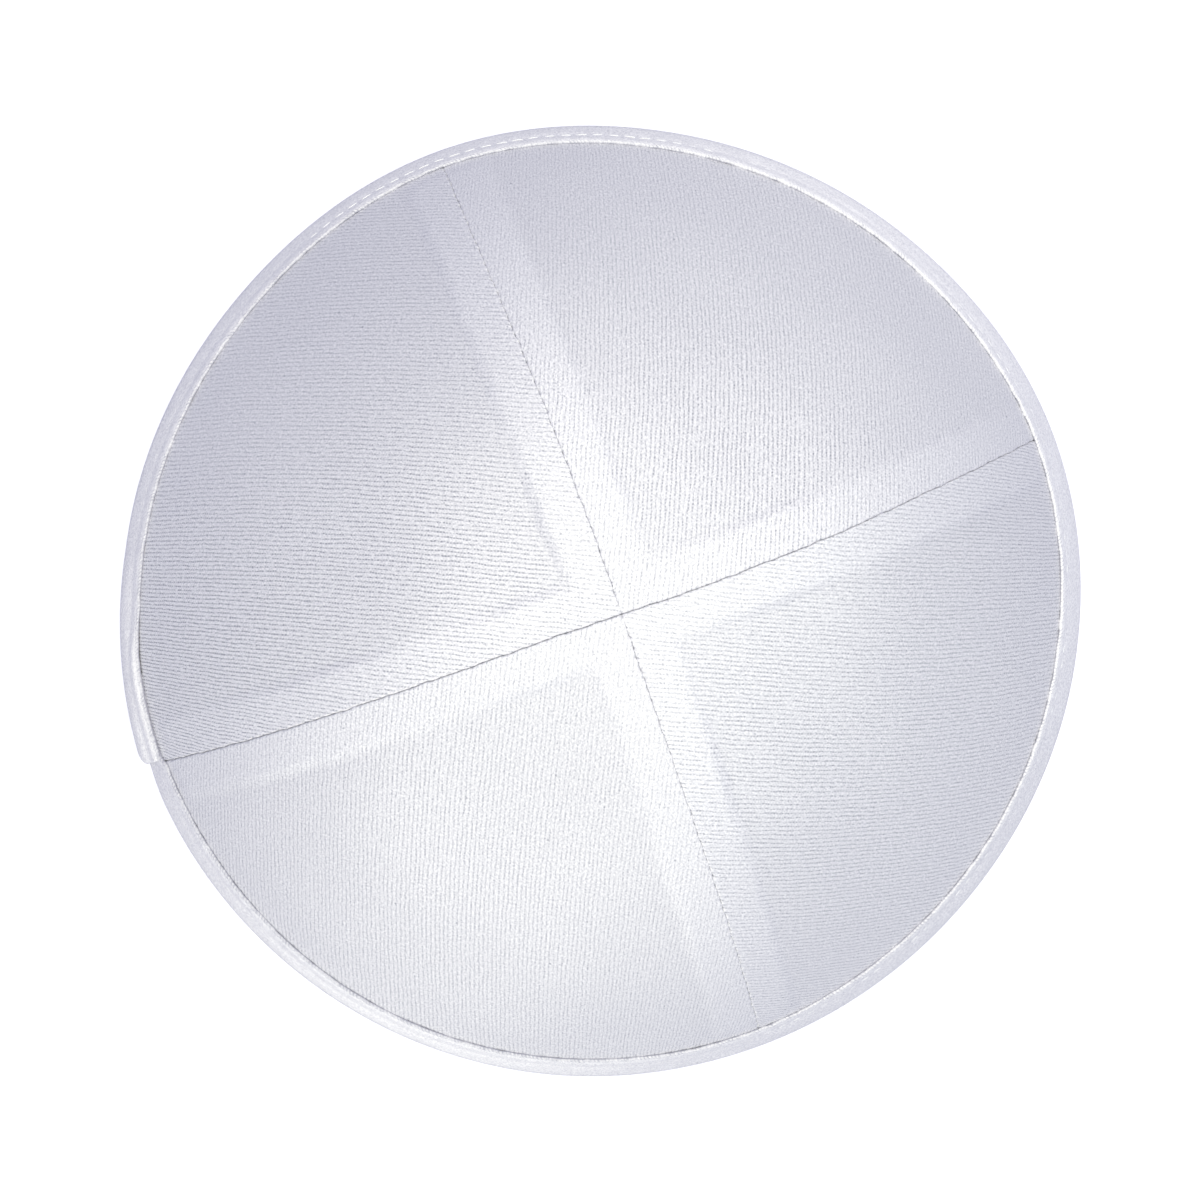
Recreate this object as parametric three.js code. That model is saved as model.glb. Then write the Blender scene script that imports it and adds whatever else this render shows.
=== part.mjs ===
// A satin skullcap: four crown panels sewn to a low dome, and a folded tape bound round the rim.
// Millimetres, +Z up. The cap rests on its rim on Z = 0, and -Y is its front.
import * as THREE from "three";

// Driving dimensions of the dome.
const CROWN_DROP = 52; // from the middle of the crown down to the cut edge of its cloth
const EDGE_HEIGHT = 1.16; // that cut edge above the surface the cap rests on
const APEX = { x: 0, y: 0.65 }; // where the four seams cross, in plan
const FALL = { middle: 2.3, seam: 2.82 }; // power of the dome's fall, midway across a panel and on a seam
const CREASE_SHARE = 0.6; // how much of the change between the two comes as a crease on the seam
const SEAM_TURNS = [20.3, 110.4, 199.9, 289.6]; // degrees round from +X, seen from above

// Cloth of the crown, measured from the middle of its thickness.
const CLOTH_HALF = 0.6;
const SEAM_GAP = 0.15; // each panel stops this short of the seam's plane
const ALLOWANCE = { width: 7.5, edge: 1.2, outside: 0.3, inside: 0.7 }; // cloth turned in beside a seam
const ALLOWANCE_FADE = { from: 8.6, to: 6.8 }; // it is pressed flat between these heights above the cut edge
const STRAIGHTEN_WITHIN = 5; // near a seam the wall's edges stay parallel to the seam's plane

// Tape folded round the rim, in the same terms.
const TAPE = { leg: 6, thickness: 0.9, clearance: 0.3, rounding: 0.45 };
const LAP = { from: 174, to: 199.7, rise: 1.3 }; // the tape's end laid over its beginning, in degrees
const LAP_STEP = 0.12; // degrees taken by the abrupt end of the lap
const FOLD = { side: -16, flatFrom: -67.5, flatTo: -112.5 }; // corners of the fold, in degrees from level

// How far the tape's outer edge stands from the apex, seen from above. A row for every 30 degrees.
const RIM_ROWS = [
  { turn: 20, reach: 85.5 },
  { turn: 50, reach: 84.0 },
  { turn: 80, reach: 83.5 },
  { turn: 110, reach: 84.4 },
  { turn: 140, reach: 83.8 },
  { turn: 170, reach: 84.8 },
  { turn: 200, reach: 85.7 },
  { turn: 230, reach: 85.7 },
  { turn: 260, reach: 85.5 },
  { turn: 290, reach: 84.8 },
  { turn: 320, reach: 84.7 },
  { turn: 350, reach: 85.3 },
];
const EDGE_INSET = 1.47; // from the tape's outer edge in to the crown's cut edge

// Panels, each from one seam to the next one round.
const PANELS = [
  { name: "crown_panel_back_right", seam: 0, color: 0xe2e1e9 },
  { name: "crown_panel_back_left", seam: 1, color: 0xdddce6 },
  { name: "crown_panel_front_left", seam: 2, color: 0xe9eaef },
  { name: "crown_panel_front_right", seam: 3, color: 0xe0e2ea },
];

// Fineness of the surfaces.
const ROW_SHARES = [0.07, 0.16, 0.25, 0.34, 0.43, 0.52, 0.61, 0.7, 0.78, 0.86];
const HALF_EDGE = ALLOWANCE.edge / 2;
const BAND_COLUMNS = [SEAM_GAP, 3.7, ALLOWANCE.width - HALF_EDGE, ALLOWANCE.width + HALF_EDGE];
const BAND_MOST = 0.75; // most of a half panel's width that these columns take near the apex
const OPEN_COLUMNS = 5; // from the edge of the turned-in cloth to the panel's middle
const TAPE_STATIONS = 96;
const NUDGE = { share: 0.004, turn: 0.3 }; // steps that the surface's slopes are measured over

const radians = THREE.MathUtils.degToRad;
const smooth = THREE.MathUtils.smoothstep;

// The tape's reach at any turn, by a closed Catmull-Rom curve through the rows.
function tapeReach(turn) {
  const step = 360 / RIM_ROWS.length;
  const place = (((turn - RIM_ROWS[0].turn) % 360) + 360) / step;
  const first = Math.floor(place);
  const t = place - first;
  const row = (k) => RIM_ROWS[(first + k + RIM_ROWS.length) % RIM_ROWS.length].reach;
  const [a, b, c, d] = [row(-1), row(0), row(1), row(2)];
  return b + 0.5 * t * (c - a + t * (2 * a - 5 * b + 4 * c - d + t * (3 * (b - c) + d - a)));
}

const edgeReach = (turn) => tapeReach(turn) - EDGE_INSET;

// The turns of the two seams that a panel lies between.
function panelSpan(seam) {
  const from = SEAM_TURNS[seam];
  const next = SEAM_TURNS[(seam + 1) % SEAM_TURNS.length];
  return { from, to: from + ((next - from + 360) % 360) };
}

// How near a turn is to a seam: 1 on it, 0 midway between two.
function seamNearness(turn) {
  for (let seam = 0; seam < SEAM_TURNS.length; seam++) {
    const { from, to } = panelSpan(seam);
    const along = (((turn - from) % 360) + 360) % 360;
    if (along <= to - from) return Math.abs((2 * along) / (to - from) - 1);
  }
  return 1;
}

// Middle of the crown's cloth at a share of the way from the apex to the cut edge.
function crownPoint(share, turn) {
  const near = seamNearness(turn);
  const soft = Math.sin((near * Math.PI) / 2) ** 2;
  const blend = CREASE_SHARE * near ** 2 + (1 - CREASE_SHARE) * soft;
  const power = THREE.MathUtils.lerp(FALL.middle, FALL.seam, blend);
  const reach = share * edgeReach(turn);
  return new THREE.Vector3(
    APEX.x + reach * Math.cos(radians(turn)),
    APEX.y + reach * Math.sin(radians(turn)),
    EDGE_HEIGHT + CROWN_DROP * (1 - share ** power),
  );
}

// Share of the way at which the wall stands the given height, along its slope, above the cut edge.
function shareAbove(height, turn) {
  const slope = Math.atan((CROWN_DROP * FALL.middle) / edgeReach(turn));
  return 1 - (height * Math.cos(slope)) / edgeReach(turn);
}

// Outward direction of the crown's surface.
function crownNormal(share, turn) {
  const near = Math.max(share, 2 * NUDGE.share);
  const down = crownPoint(near + NUDGE.share, turn).sub(crownPoint(near - NUDGE.share, turn));
  const round = crownPoint(near, turn + NUDGE.turn).sub(crownPoint(near, turn - NUDGE.turn));
  return down.cross(round).normalize();
}

// Level directions at a turn: away from the apex, and square to that.
const outwards = (turn) => new THREE.Vector3(Math.cos(radians(turn)), Math.sin(radians(turn)), 0);
const sideways = (turn) => new THREE.Vector3(-Math.sin(radians(turn)), Math.cos(radians(turn)), 0);

// A closed solid between an outer and an inner grid of points, whose first row is one point repeated.
function shellBetween(outer, inner) {
  const corners = [];
  const face = (...points) => {
    const [a, b, c, d] = points;
    if (a !== b && b !== c) corners.push(a, b, c);
    if (c !== d && d !== a) corners.push(a, c, d);
  };
  const last = outer.length - 1;
  const end = outer[0].length - 1;
  for (let j = 0; j < last; j++) {
    for (let k = 0; k < end; k++) {
      face(outer[j + 1][k], outer[j + 1][k + 1], outer[j][k + 1], outer[j][k]);
      face(inner[j][k], inner[j][k + 1], inner[j + 1][k + 1], inner[j + 1][k]);
    }
    face(outer[j][0], inner[j][0], inner[j + 1][0], outer[j + 1][0]);
    face(outer[j + 1][end], inner[j + 1][end], inner[j][end], outer[j][end]);
  }
  for (let k = 0; k < end; k++) {
    face(outer[last][k], inner[last][k], inner[last][k + 1], outer[last][k + 1]);
  }
  return new THREE.BufferGeometry().setFromPoints(corners);
}

// One crown panel: cloth between two seams, thicker where its edges are turned in and pressed flat.
function crownPanel(panel) {
  const { from, to } = panelSpan(panel.seam);
  const half = (to - from) / 2;
  const middle = (from + to) / 2;
  const perHalf = BAND_COLUMNS.length - 1 + OPEN_COLUMNS;

  // How far column k of the grid is turned from its seam, at a plan distance from the apex.
  const columnTurn = (k, reach) => {
    const turnAt = (distance) => Math.asin(Math.min(1, distance / reach)) / radians(1);
    const band = Math.min(k, BAND_COLUMNS.length - 1);
    const mostShare = (BAND_MOST * band) / (BAND_COLUMNS.length - 1);
    const most = THREE.MathUtils.lerp(turnAt(SEAM_GAP), half, mostShare);
    const banded = Math.min(turnAt(BAND_COLUMNS[band]), most);
    return THREE.MathUtils.lerp(banded, half, (k - band) / OPEN_COLUMNS);
  };

  const fade = {
    from: shareAbove(ALLOWANCE_FADE.from, middle),
    to: shareAbove(ALLOWANCE_FADE.to, middle),
  };
  const rows = [...ROW_SHARES, fade.from, fade.to, 1];

  // The panel's tip at the apex is a single point, clear of both seams.
  const tip = crownPoint(SEAM_GAP / Math.sin(radians(half)) / edgeReach(middle), middle);
  const tipRow = (rise) => Array(2 * perHalf + 1).fill(tip.clone().setZ(tip.z + rise));
  const outer = [tipRow(CLOTH_HALF + ALLOWANCE.outside)];
  const inner = [tipRow(-CLOTH_HALF - ALLOWANCE.inside)];
  for (const share of rows) {
    const outerRow = [];
    const innerRow = [];
    for (let k = 0; k <= 2 * perHalf; k++) {
      const first = k <= perHalf;
      const seam = first ? from : to;
      const away = columnTurn(first ? k : 2 * perHalf - k, share * edgeReach(seam));
      const turn = first ? from + away : to - away;
      const toSeam = share * edgeReach(turn) * Math.sin(radians(away));

      const normal = crownNormal(share, turn);
      const square = sideways(seam);
      const kept = 1 - smooth(toSeam, SEAM_GAP, STRAIGHTEN_WITHIN);
      normal.addScaledVector(square, -kept * normal.dot(square)).normalize();

      const inBand = 1 - smooth(toSeam, BAND_COLUMNS.at(-2), BAND_COLUMNS.at(-1));
      const raised = inBand * (1 - smooth(share, fade.from, fade.to));
      const point = crownPoint(share, turn);
      outerRow.push(point.clone().addScaledVector(normal, CLOTH_HALF + ALLOWANCE.outside * raised));
      innerRow.push(point.clone().addScaledVector(normal, -CLOTH_HALF - ALLOWANCE.inside * raised));
    }
    outer.push(outerRow);
    inner.push(innerRow);
  }
  return shellBetween(outer, inner);
}

// The tape's section at a turn: two legs and a fold, round a pocket that holds the crown's edge.
function tapeSection(turn, extra) {
  const edge = crownPoint(1, turn);
  const up = crownPoint(shareAbove(ALLOWANCE_FADE.to, turn), turn).sub(edge).normalize();
  const out = sideways(turn).cross(up).normalize();
  const at = (along, off) => edge.clone().addScaledVector(up, along).addScaledVector(out, off);

  const pocket = CLOTH_HALF + TAPE.clearance;
  const skin = pocket + TAPE.thickness;
  const foldCentre = CLOTH_HALF;
  const centre = at(foldCentre, 0);
  const onFold = (degrees, radius) => {
    const aside = outwards(turn).multiplyScalar(radius * Math.cos(radians(degrees)));
    return centre.clone().add(aside).setZ(centre.z + radius * Math.sin(radians(degrees)));
  };
  return [
    at(TAPE.leg, pocket),
    at(TAPE.leg, skin + extra - TAPE.rounding),
    at(TAPE.leg - TAPE.rounding, skin + extra),
    at(foldCentre, skin + extra),
    onFold(FOLD.side, skin + extra),
    onFold(FOLD.flatFrom, skin).setZ(0),
    onFold(FOLD.flatTo, skin).setZ(0),
    at(foldCentre, -skin),
    at(TAPE.leg - TAPE.rounding, -skin),
    at(TAPE.leg, TAPE.rounding - skin),
    at(TAPE.leg, -pocket),
    at(-TAPE.clearance, -pocket),
    at(-TAPE.clearance, pocket),
  ];
}

// The whole tape: its section carried round the rim, thicker towards the lap and stepping down after it.
function rimBinding() {
  const sections = [];
  for (let k = 0; k <= TAPE_STATIONS; k++) {
    const turn = LAP.to + LAP_STEP + (k * (360 - LAP_STEP)) / TAPE_STATIONS;
    const within = (turn - 360 - LAP.from) / (LAP.to - LAP.from);
    sections.push(tapeSection(turn, LAP.rise * Math.max(0, within)));
  }
  const corners = [];
  sections.forEach((here, j) => {
    const next = sections[(j + 1) % sections.length];
    here.forEach((point, k) => {
      const m = (k + 1) % here.length;
      corners.push(point, here[m], next[m], point, next[m], next[k]);
    });
  });
  return new THREE.BufferGeometry().setFromPoints(corners);
}

function named(name, geometry, color) {
  const material = new THREE.MeshStandardMaterial({ color, roughness: 0.55, metalness: 0 });
  geometry.computeVertexNormals();
  const mesh = new THREE.Mesh(geometry, material);
  mesh.name = name;
  return mesh;
}

const cap = new THREE.Group();
for (const panel of PANELS) cap.add(named(panel.name, crownPanel(panel), panel.color));
cap.add(named("rim_binding", rimBinding(), 0xeeeef4));

export default cap;
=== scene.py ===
# %% [markdown]
# A white satin skullcap lies on a pale table, crown up, and the camera looks almost straight down on it.
# The real cap is four panels of ribbed satin sewn into a low dome, with a folded satin tape round the rim.
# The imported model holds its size, its dome and its place, so this script starts from that fixed frame.

# %% Load the frame
import math

import bmesh
import bpy
import numpy as np
from mathutils import Matrix, Vector


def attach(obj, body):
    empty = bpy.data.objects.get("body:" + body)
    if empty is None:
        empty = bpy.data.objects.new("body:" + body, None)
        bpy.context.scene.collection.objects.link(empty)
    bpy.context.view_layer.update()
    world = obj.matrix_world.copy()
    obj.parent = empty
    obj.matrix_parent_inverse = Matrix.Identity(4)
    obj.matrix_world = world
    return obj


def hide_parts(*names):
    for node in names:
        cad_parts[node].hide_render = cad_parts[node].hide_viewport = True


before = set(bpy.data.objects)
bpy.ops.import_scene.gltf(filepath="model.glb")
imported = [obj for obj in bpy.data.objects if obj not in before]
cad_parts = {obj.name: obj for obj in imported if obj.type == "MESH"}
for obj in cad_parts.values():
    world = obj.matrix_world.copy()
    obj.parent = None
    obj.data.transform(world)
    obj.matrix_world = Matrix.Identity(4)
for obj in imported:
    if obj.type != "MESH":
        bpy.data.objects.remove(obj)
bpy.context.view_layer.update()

MM = 0.001  # the maths below is in millimetres, and every mesh is in metres
print("frame nodes:", sorted(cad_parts))

# %% [markdown]
# The camera comes first, because everything is seen through it.
# Its lean and its turn follow from how far the apex stands off the middle of the outline and from the bow in
# the seams. Its distance is a usual one, and its lens follows from how wide the photograph is at the table.

# %% Camera
VIEW_DISTANCE = 800.0  # mm from the table
VIEW_LEAN = 4.32  # degrees from straight above
VIEW_TURN = 140.1  # degrees round from +X, towards the back left
VIEW_TARGET = np.array([-0.49, 0.42, 0.0])  # the point on the table at the picture's middle
PIXEL = 0.178  # mm on the table for each pixel
PHOTO_PIXELS = 1200
SENSOR = 36.0


def direction(turn, lift):
    """Unit vector at a turn round from +X and a lift above the table, in degrees."""
    turn, lift = math.radians(turn), math.radians(lift)
    return np.array([math.cos(lift) * math.cos(turn), math.cos(lift) * math.sin(turn), math.sin(lift)])


def add_object(name, data):
    """A new object at the origin, in the scene."""
    made = bpy.data.objects.new(name, data)
    bpy.context.scene.collection.objects.link(made)
    return made


def add_camera():
    """A camera that leans as the photograph's did, with +Y up the picture."""
    backward = Vector(direction(VIEW_TURN, 90 - VIEW_LEAN))
    right = Vector((0, 1, 0)).cross(backward).normalized()
    up = backward.cross(right)
    camera = add_object("camera", bpy.data.cameras.new("camera"))
    camera.data.sensor_width = SENSOR
    camera.data.lens = SENSOR * VIEW_DISTANCE / (PIXEL * PHOTO_PIXELS)
    place = (Vector(VIEW_TARGET) + VIEW_DISTANCE * backward) * MM
    camera.matrix_world = Matrix.Translation(place) @ Matrix((right, up, backward)).transposed().to_4x4()
    bpy.context.scene.camera = camera
    return camera


camera = add_camera()
print(f"camera lens {camera.data.lens:.1f} mm")

# %% [markdown]
# Nodes are easier to read as sums than as boxes, so two small classes let Python's operators build them.
# A Link is one output socket. Adding, multiplying or smoothing it adds the node that does so. A Tree makes
# every other node from its type, its settings and the values of its sockets. Both serve the materials and the
# Geometry Nodes, because these use the same maths nodes.

# %% Node trees written as expressions
class Link:
    """An output socket that Python's operators work on."""

    def __init__(self, tree, socket):
        self.tree = tree
        self.socket = socket

    def apply(self, operation, *values):
        """The maths node for an operation, on vectors if one of the values is a vector."""
        vectors = [isinstance(v, Link) and v.socket.type == "VECTOR" for v in values]
        if not any(vectors):
            return self.tree.node("ShaderNodeMath", {"operation": operation}, dict(enumerate(values)))
        if operation == "MULTIPLY" and not all(vectors):
            vector, number = values if vectors[0] else values[::-1]
            return self.tree.node("ShaderNodeVectorMath", {"operation": "SCALE"}, {0: vector, 3: number})
        return self.tree.node("ShaderNodeVectorMath", {"operation": operation}, dict(enumerate(values)))

    def __add__(self, other):
        return self.maths("ADD", other)

    def __radd__(self, other):
        return self.apply("ADD", other, self)

    def __sub__(self, other):
        return self.maths("SUBTRACT", other)

    def __rsub__(self, other):
        return self.apply("SUBTRACT", other, self)

    def __mul__(self, other):
        return self.maths("MULTIPLY", other)

    def __rmul__(self, other):
        return self.apply("MULTIPLY", other, self)

    def __truediv__(self, other):
        return self.maths("DIVIDE", other)

    def __pow__(self, other):
        return self.maths("POWER", other)

    def maths(self, operation, *others):
        """Any other operation on this value, such as SINE, ABSOLUTE or MAXIMUM."""
        return self.apply(operation, self, *others)

    def wave(self, pitch):
        """A cosine of this value, repeating at a pitch."""
        return (self * (2 * math.pi / pitch)).maths("COSINE")

    def smooth(self, low, high):
        """0 below low, 1 above high and a soft step between; the other way round if low is the greater."""
        values = {"Value": self, "From Min": low, "From Max": high}
        return self.tree.node("ShaderNodeMapRange", {"interpolation_type": "SMOOTHSTEP"}, values)


class Tree:
    """A material's or a modifier's node tree."""

    def __init__(self, tree):
        self.tree = tree

    def node(self, kind, settings=None, inputs=None, output=0):
        made = self.tree.nodes.new(kind)
        for name, value in (settings or {}).items():
            setattr(made, name, value)
        for key, value in (inputs or {}).items():
            if isinstance(value, Link):
                self.tree.links.new(value.socket, made.inputs[key])
            else:
                made.inputs[key].default_value = value
        return Link(self, made.outputs[output]) if made.outputs else None

    def outputs(self, link):
        """All the outputs of the node that a link comes from."""
        return [Link(self, socket) for socket in link.socket.node.outputs]

    def split(self, vector):
        return self.outputs(self.node("ShaderNodeSeparateXYZ", inputs={0: vector}))

    def join(self, x, y, z=0.0):
        return self.node("ShaderNodeCombineXYZ", inputs={0: x, 1: y, 2: z})

    def noise(self, vector, scale=1.0, detail=0.0, roughness=0.5):
        inputs = {"Vector": vector, "Scale": scale, "Detail": detail, "Roughness": roughness}
        return self.node("ShaderNodeTexNoise", inputs=inputs)

    def kept(self, name, output="Fac"):
        """In a material, an attribute of the mesh: a number, or a vector with the output Vector."""
        return self.node("ShaderNodeAttribute", {"attribute_name": name}, output=output)

    def named(self, name, kind="FLOAT"):
        """The same in Geometry Nodes."""
        return self.node("GeometryNodeInputNamedAttribute", {"data_type": kind}, {"Name": name})

    def mix(self, factor, first, second):
        """A colour between two others."""
        return self.node("ShaderNodeMix", {"data_type": "RGBA"}, {0: factor, 6: first, 7: second}, output=2)


def new_material(name):
    """An empty material, and its tree."""
    material = bpy.data.materials.new(name)
    material.use_nodes = True
    material.node_tree.nodes.clear()
    return material, Tree(material.node_tree)


def finish_surface(tree, base, roughness, height, **constants):
    """Shader and output: base colour, roughness and a height in mm vary; the constants are plain numbers."""
    bump = tree.node("ShaderNodeBump", inputs={"Strength": 1.0, "Distance": MM, "Height": height})
    inputs = {"Base Color": base, "Roughness": roughness, "Normal": bump}
    inputs.update({name.replace("_", " "): value for name, value in constants.items()})
    shader = tree.node("ShaderNodeBsdfPrincipled", inputs=inputs)
    tree.node("ShaderNodeOutputMaterial", inputs={"Surface": shader})


# %% [markdown]
# The crown's satin has fine ribs, 0.8 mm apart, that run aslant across each panel: a thin gap between two
# wide pale ribs, bumped and with shade painted into it. The gaps wander a little and break up into dashes.
# Where the cloth lies single, the shade of the hollow under it is painted in, which makes it a little darker
# than over a seam allowance.
# A picture of cloth would blur close up, so the ribs are worked out from where each point lay on the flat
# panel before it was sewn. The mesh keeps that in an attribute named cloth: millimetres along the panel,
# millimetres across it, and how hard it is pressed, which keeps the hollow's painted shade off it. Two more
# say how clearly the ribs show, and how much painted shade a seam puts on the point.

# %% Crown satin
RIB_PITCH = 0.78  # mm
RIB_SLANT = 19.0  # degrees round from the middle line of a panel
YARN_PITCH = 0.554  # between the yarns that cross the ribs
YARN_SKEW = 11.0  # degrees that those yarns are off square to the ribs
SATIN_WHITE = (0.985, 0.975, 0.995, 1)
# the dark end of the colour: painted shade in the rib gaps and the seams, which lint specks take too
SATIN_GAP_SHADE = (0.36, 0.37, 0.43, 1)
LEAST_SHADE = 0.19  # how much of the gap's colour is everywhere
GAP_SHADE = 0.53  # and how much more a gap takes
EVEN_SHADE = 0.115  # as much as the gaps take on average, where they don't show
# random mottle of the threads, with painted glints where they catch the light
MOTTLE_AND_GLINT_SHADE = 0.48  # how much less the brightest threads take
# painted shade in the folds that roll into a seam
SEAM_SHADE = 0.75  # how dark the folds are where they roll into a seam
# painted shade of the hollow, showing through a single layer of cloth
HOLLOW_SHADE = (0.36, 0.36, 0.42, 1)  # under a single layer of cloth
HOLLOW_SHADE_SHOWS = 0.115


def crown_satin():
    material, t = new_material("crown_satin")
    along, across, pressed = t.split(t.kept("cloth", output="Vector"))
    slant = math.radians(RIB_SLANT)
    on_rib = along * math.cos(slant) + across * math.sin(slant)
    over_ribs = across * math.cos(slant) - along * math.sin(slant)

    wander = t.noise(t.join(on_rib * 0.16, over_ribs * 0.35), detail=2.0) - 0.5
    jitter = t.noise(t.join(on_rib * 1.1, over_ribs * 1.3), detail=1.0) - 0.5
    strayed = over_ribs + wander * 0.7 + jitter * 0.2
    rib = strayed.wave(RIB_PITCH)
    skew = math.radians(YARN_SKEW)
    yarn = (on_rib * math.cos(skew) + strayed * math.sin(skew) + wander * 0.5).wave(YARN_PITCH)

    dashes = t.noise(t.join(on_rib * 0.9, over_ribs * 2.4), detail=2.0, roughness=0.75).smooth(0.37, 0.56)
    show = t.kept("ribs_show")
    # depth: the rib gaps, bumped and with shade painted into them
    depth = rib.smooth(0.0, 1.0) * (yarn * 0.6 + 1.1) * (dashes * 0.8 + 0.2) * show

    mottle = t.noise(t.join(on_rib * 2.1, over_ribs * 2.7), detail=1.0, roughness=0.6) - 0.5
    grain = t.noise(t.join(on_rib * 4.6, over_ribs * 5.2, 3.0), detail=1.0) - 0.5
    # random mottle in the cloth's tone, with painted glints of its threads
    mottle_and_glints = mottle * 2.0 + grain * 1.5
    lint = t.noise(t.join(along * 1.3, across * 1.3, 9.0)).smooth(0.83, 0.86)

    shade = depth * GAP_SHADE + (1 - show) * EVEN_SHADE - mottle_and_glints * MOTTLE_AND_GLINT_SHADE
    shade = shade - yarn * show * 0.05 + lint * 0.45 + LEAST_SHADE
    base = t.mix(shade, SATIN_WHITE, SATIN_GAP_SHADE)
    # painted shade of the hollow, where no seam allowance lies under the cloth
    base = t.mix((1 - pressed) * HOLLOW_SHADE_SHOWS, base, HOLLOW_SHADE)
    # painted shade where the folds roll into a seam
    base = t.mix(t.kept("in_seam") * SEAM_SHADE, base, SATIN_GAP_SHADE)
    height = mottle_and_glints * 0.025 - depth * 0.06
    finish_surface(t, base, 0.66 + 0.25 * grain, height, Metallic=0.5)
    return material


crown_cloth = crown_satin()
print("crown satin nodes:", len(crown_cloth.node_tree.nodes))

# %% [markdown]
# The tape is a smoother satin. Close to, it shows a faint twill, and soft blotches where the folding and the
# sewing have bruised it. Along its top fold the twill stands out more, and the half of the fold that tucks in
# against the crown has shade painted on it. Towards one side of the cap the tape has painted light, and away
# from that side its fold has painted shade.

# %% Tape satin
TAPE_WHITE = (0.965, 0.955, 0.97, 1)
TAPE_SHADE = (0.5, 0.5, 0.57, 1)
TAPE_TWILL = 0.7  # mm
FOLD_FROM, FOLD_TO = 5.5, 5.95  # mm up the tape, where its top fold begins and is full
LIT_SIDE_TURN = 32.0  # the turn where the tape has the most painted light


def tape_satin():
    material, t = new_material("tape_satin")
    along, height, offset, core, turns = map(t.kept, ("along", "height", "offset", "core", "turns"))
    mottle = t.noise(t.join(along * 1.9, height * 2.6), detail=1.0, roughness=0.6) - 0.5
    grain = t.noise(t.join(along * 4.6, height * 4.6, 7.0), detail=1.0) - 0.5
    blotches = t.noise(t.join(along * 0.35, height * 0.5, 2.0), detail=2.0) - 0.5
    twill = (along + height * 0.9 + blotches * 0.8).wave(TAPE_TWILL)
    at_fold = height.smooth(FOLD_FROM, FOLD_TO)
    # painted shade on the half of the fold that tucks in against the crown
    tucked_in_shade = (offset.maths("ABSOLUTE") - core.maths("ABSOLUTE")).smooth(0.06, -0.14) * at_fold
    towards_lit_side = (turns - LIT_SIDE_TURN).wave(360)
    # a slow noise that breaks up the twill and the painted shade
    patchy = t.noise(t.join(along * 0.5, height * 0.4, 5.0), detail=1.0).smooth(0.3, 0.7)
    broken = twill.smooth(0.0, 1.0) * (at_fold * 0.45 + 0.1) * patchy
    # random mottle in the tape's tone, with painted glints of its threads
    mottle_and_glints = mottle * 1.6 + grain * 1.4
    shade = broken * 0.76 - mottle_and_glints * 0.62 + blotches * 0.25 + 0.34
    # painted shade along the fold, less of it towards the lit side
    shade = shade + tucked_in_shade * (patchy * 0.6 + 0.15) + at_fold * (0.17 - towards_lit_side * 0.13)
    # painted light on the tape towards the lit side
    shade = shade - towards_lit_side.smooth(0.45, 1.0) * 0.2
    base = t.mix(shade, TAPE_WHITE, TAPE_SHADE)
    relief = mottle_and_glints * 0.035 + blotches * 0.06 - broken * 0.06
    finish_surface(t, base, 0.64 + 0.2 * grain, relief, Metallic=0.5)
    return material


tape_cloth = tape_satin()
print("tape satin nodes:", len(tape_cloth.node_tree.nodes))

# %% [markdown]
# Sewing thread is a twist of fine strands. The attribute strand counts them round the twist, so a sine of it
# gives the slanting grooves between them, bumped and with shade painted into them.

# %% Thread
def sewing_thread():
    material, t = new_material("sewing_thread")
    groove = (t.kept("strand") * (2 * math.pi)).maths("SINE").smooth(-1.0, 0.2)
    base = t.mix(groove, (0.8, 0.8, 0.86, 1), (1.0, 1.0, 1.0, 1))
    finish_surface(t, base, 0.5 - groove * 0.1, groove * 0.03, Metallic=0.3)
    return material


thread = sewing_thread()
print("thread nodes:", len(thread.node_tree.nodes))

# %% [markdown]
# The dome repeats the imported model's own rule, so that the fine cloth lies where the solid lies.
# From the apex each point falls with a power of its share of the way out. The power is greater on a seam
# than between two, which gives the cap its four soft corners. The rim isn't quite round and its tape isn't
# equally tall all round, so both are short tables, smoothed by a closed Catmull-Rom curve.

# %% Form of the dome
CROWN_DROP = 52.0  # from the apex to the cut edge
EDGE_HEIGHT = 1.16
APEX = np.array([0.0, 0.65])
FALL_MIDDLE = 2.3
FALL_SEAM = 2.82
CREASE_SHARE = 0.6  # how much of the change comes sharply, close to a seam
SEAM_TURNS = np.array([20.3, 110.4, 199.9, 289.6])  # right, back, left and front
RIM_REACH = {  # mm from the apex to the outside of the tape
    20: 85.5, 50: 84.0, 80: 83.5, 110: 84.4, 140: 83.8, 170: 84.8,
    200: 85.7, 230: 85.7, 260: 85.5, 290: 84.8, 320: 84.7, 350: 85.3,
}
TAPE_TALL = {  # mm up the wall from the cut edge to the tape's top
    0: 6.4, 30: 6.3, 60: 4.9, 90: 4.3, 120: 4.4, 150: 4.4,
    180: 4.5, 210: 5.0, 240: 4.0, 270: 5.0, 300: 5.7, 330: 5.6,
}
EDGE_INSET = 1.47  # from the tape's outer edge in to the crown's cut edge
CLOTH_HALF = 0.6


def smoothstep(value, low, high):
    t = np.clip((value - low) / (high - low), 0, 1)
    return t * t * (3 - 2 * t)


def round_table(table, turn):
    """A smooth closed curve through a table of values at even turns."""
    turns, values = list(table), np.array(list(table.values()))
    place = ((turn - turns[0]) % 360) / (turns[1] - turns[0])
    first = np.floor(place).astype(int)
    t = place - first
    a, b, c, d = (values[(first + k) % len(values)] for k in (-1, 0, 1, 2))
    return b + 0.5 * t * (c - a + t * (2 * a - 5 * b + 4 * c - d + t * (3 * (b - c) + d - a)))


def edge_reach(turn):
    """How far the crown's cut edge stands from the apex in plan."""
    return round_table(RIM_REACH, turn) - EDGE_INSET


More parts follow.
